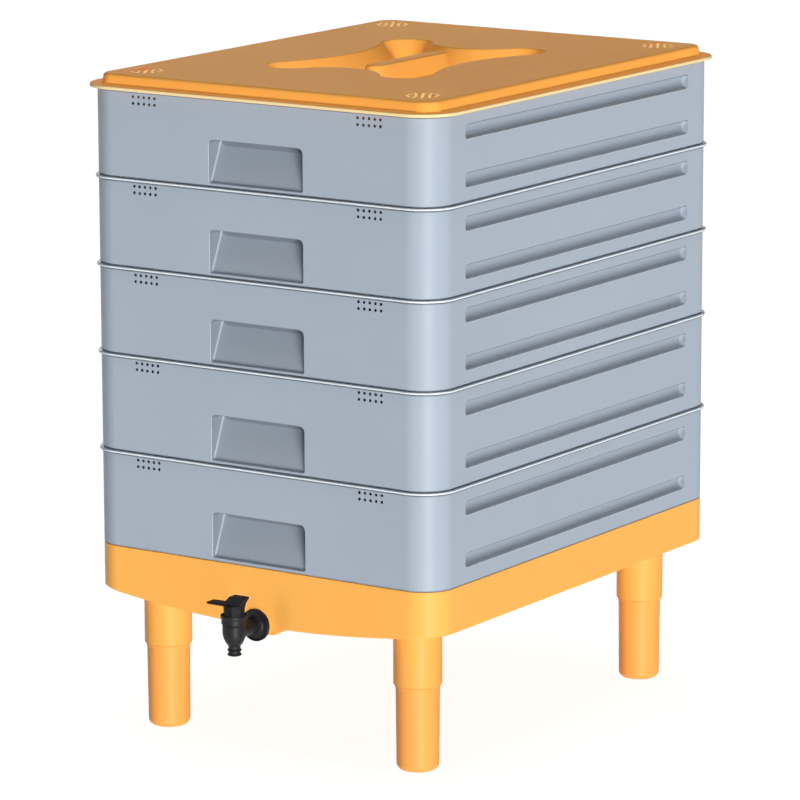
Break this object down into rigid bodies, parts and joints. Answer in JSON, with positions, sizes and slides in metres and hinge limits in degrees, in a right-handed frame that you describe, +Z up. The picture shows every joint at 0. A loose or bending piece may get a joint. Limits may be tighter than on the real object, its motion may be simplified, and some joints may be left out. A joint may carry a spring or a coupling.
{
  "type": "wormery",
  "caption": "Stacking tray wormery: a collector base with drain tap on push-in legs, nesting vented trays and a lid with a lobed hand recess.",
  "frame": {"origin": "on the ground under the feet, at the middle of the overall box", "axes": "+Z up, front with the tap towards -Y, long side of the trays along Y, width along X"},
  "size_m": [0.394, 0.545, 0.615],
  "materials": {
    "orange_plastic": "smooth satin moulded plastic",
    "grey_plastic": "smooth satin moulded plastic",
    "black_plastic": "satin moulded plastic",
    "black_rubber": "soft rubber"
  },
  "bodies": {
    "collector": {"base": "orange_plastic", "leg_front_left": "orange_plastic", "leg_front_right": "orange_plastic", "leg_back_left": "orange_plastic", "leg_back_right": "orange_plastic", "worm_ladder": "orange_plastic", "tap_body": "black_plastic", "tap_washer": "black_rubber", "tap_collar": "black_plastic"},
    "tap_handle": {"tap_lever": "black_plastic", "tap_plug": "black_plastic", "tap_seal": "black_rubber"},
    "tray_5": {"tray_5": "grey_plastic"},
    "tray_4": {"tray_4": "grey_plastic"},
    "tray_3": {"tray_3": "grey_plastic"},
    "tray_2": {"tray_2": "grey_plastic"},
    "tray_1": {"tray_1": "grey_plastic"},
    "lid": {"lid": "orange_plastic"}
  },
  "joints": [
    {"name": "tap_turn", "type": "hinge", "parent": "collector", "child": "tap_handle", "pos_m": [0, -0.26, 0.15], "axis": [0, 0, 1], "range_deg": [0, 90]},
    {"name": "tray_5_lift", "type": "slide", "parent": "collector", "child": "tray_5", "axis": [0, 0, 1], "range_m": [0, 0.1]},
    {"name": "tray_4_lift", "type": "slide", "parent": "tray_5", "child": "tray_4", "axis": [0, 0, 1], "range_m": [0, 0.1]},
    {"name": "tray_3_lift", "type": "slide", "parent": "tray_4", "child": "tray_3", "axis": [0, 0, 1], "range_m": [0, 0.1]},
    {"name": "tray_2_lift", "type": "slide", "parent": "tray_3", "child": "tray_2", "axis": [0, 0, 1], "range_m": [0, 0.1]},
    {"name": "tray_1_lift", "type": "slide", "parent": "tray_2", "child": "tray_1", "axis": [0, 0, 1], "range_m": [0, 0.1]},
    {"name": "lid_lift", "type": "slide", "parent": "tray_1", "child": "lid", "axis": [0, 0, 1], "range_m": [0, 0.12]}
  ]
}
